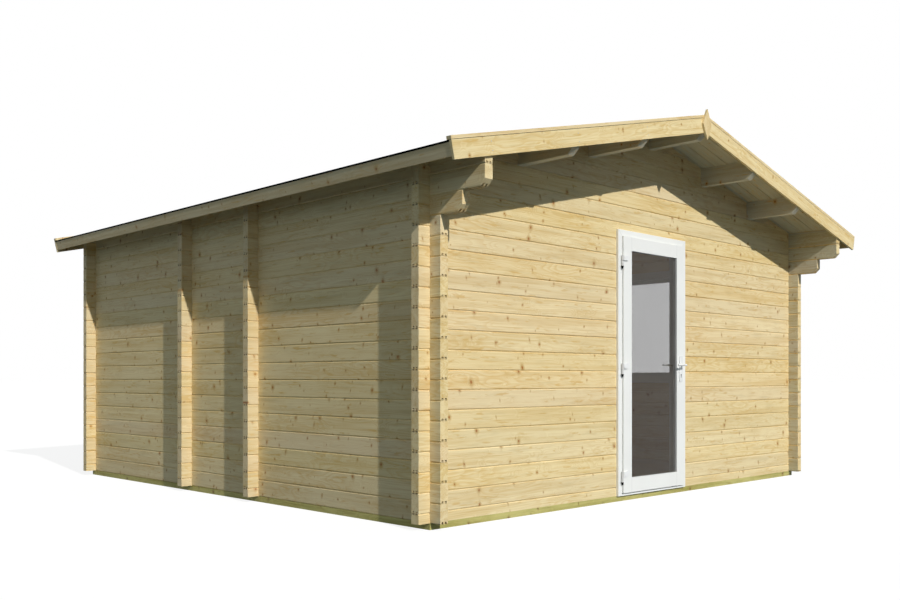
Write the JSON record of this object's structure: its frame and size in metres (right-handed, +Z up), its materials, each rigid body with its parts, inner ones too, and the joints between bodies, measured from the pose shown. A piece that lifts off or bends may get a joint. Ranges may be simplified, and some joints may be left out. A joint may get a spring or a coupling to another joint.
{
  "type": "garden house",
  "caption": "Log-built garden house with a low gable roof, a glazed single door in front and a window in the right wall.",
  "frame": {"origin": "on the ground, under the middle of the whole building's box", "axes": "+X to the right along the front wall, +Y to the rear along the ridge, +Z up; the door faces -Y"},
  "size_m": [5.7842, 5.916, 3.1764],
  "materials": {
    "log_wood": "bare planed spruce, with knots",
    "treated_wood": "pressure treated, rough",
    "floor_wood": "bare planed boards",
    "board_wood": "bare planed boards",
    "trim_wood": "bare planed spruce",
    "roofing_felt": "matt bitumen with fine grit",
    "white_paint": "satin white paint on wood",
    "glass": "clear float glass",
    "hinge_steel": "off-white powder coat, satin",
    "handle_white": "white powder coat, satin",
    "fixing_steel": "zinc-plated nails, screws and lock parts",
    "seal_rubber": "black seals, matt",
    "black_plastic": "black plastic caps, matt",
    "spacer_aluminium": "plain aluminium, satin"
  },
  "bodies": {
    "house": {"bearer_front": "treated_wood", "bearer_rear": "treated_wood", "bearer_left": "treated_wood", "bearer_right": "treated_wood", "floor_joists": "treated_wood", "floor": "floor_wood", "left_wall": "log_wood", "left_wall_corbels": "log_wood", "right_wall_low": "log_wood", "right_wall_front": "log_wood", "right_wall_rear": "log_wood", "right_wall_corbels": "log_wood", "front_wall_left": "log_wood", "front_wall_right": "log_wood", "front_gable": "log_wood", "rear_wall": "log_wood", "cross_stack_front": "log_wood", "cross_stack_rear": "log_wood", "ridge_purlin": "log_wood", "upper_purlins": "log_wood", "lower_purlins": "log_wood", "roof_boards_left": "board_wood", "roof_boards_right": "board_wood", "roofing_felt": "roofing_felt", "verge_boards_front": "trim_wood", "verge_boards_rear": "trim_wood", "verge_caps_front": "trim_wood", "verge_caps_rear": "trim_wood", "eave_board_left": "trim_wood", "eave_board_right": "trim_wood", "finial_front": "trim_wood", "finial_rear": "trim_wood", "door_frame": "white_paint", "door_threshold": "white_paint", "hinge_frame_halves": "hinge_steel", "window_frame": "white_paint", "window_sash": "white_paint", "window_glass": "glass", "window_beads": "white_paint"},
    "door_leaf": {"door_stiles": "white_paint", "door_rails": "white_paint", "door_glass": "glass", "door_beads": "white_paint", "hinge_leaf_halves": "hinge_steel", "handle_plates": "handle_white"},
    "lever": {"door_levers": "handle_white"}
  },
  "joints": [
    {"name": "door_hinge", "type": "hinge", "parent": "house", "child": "door_leaf", "pos_m": [-0.461, -2.455, 1.1], "axis": [0, 0, -1], "range_deg": [0, 110]},
    {"name": "lever_turn", "type": "hinge", "parent": "door_leaf", "child": "lever", "pos_m": [0.395, -2.459, 1.118], "axis": [0, -1, 0], "range_deg": [0, 40], "stiffness_Nm_per_rad": 1.5, "springref_deg": -20.05}
  ]
}
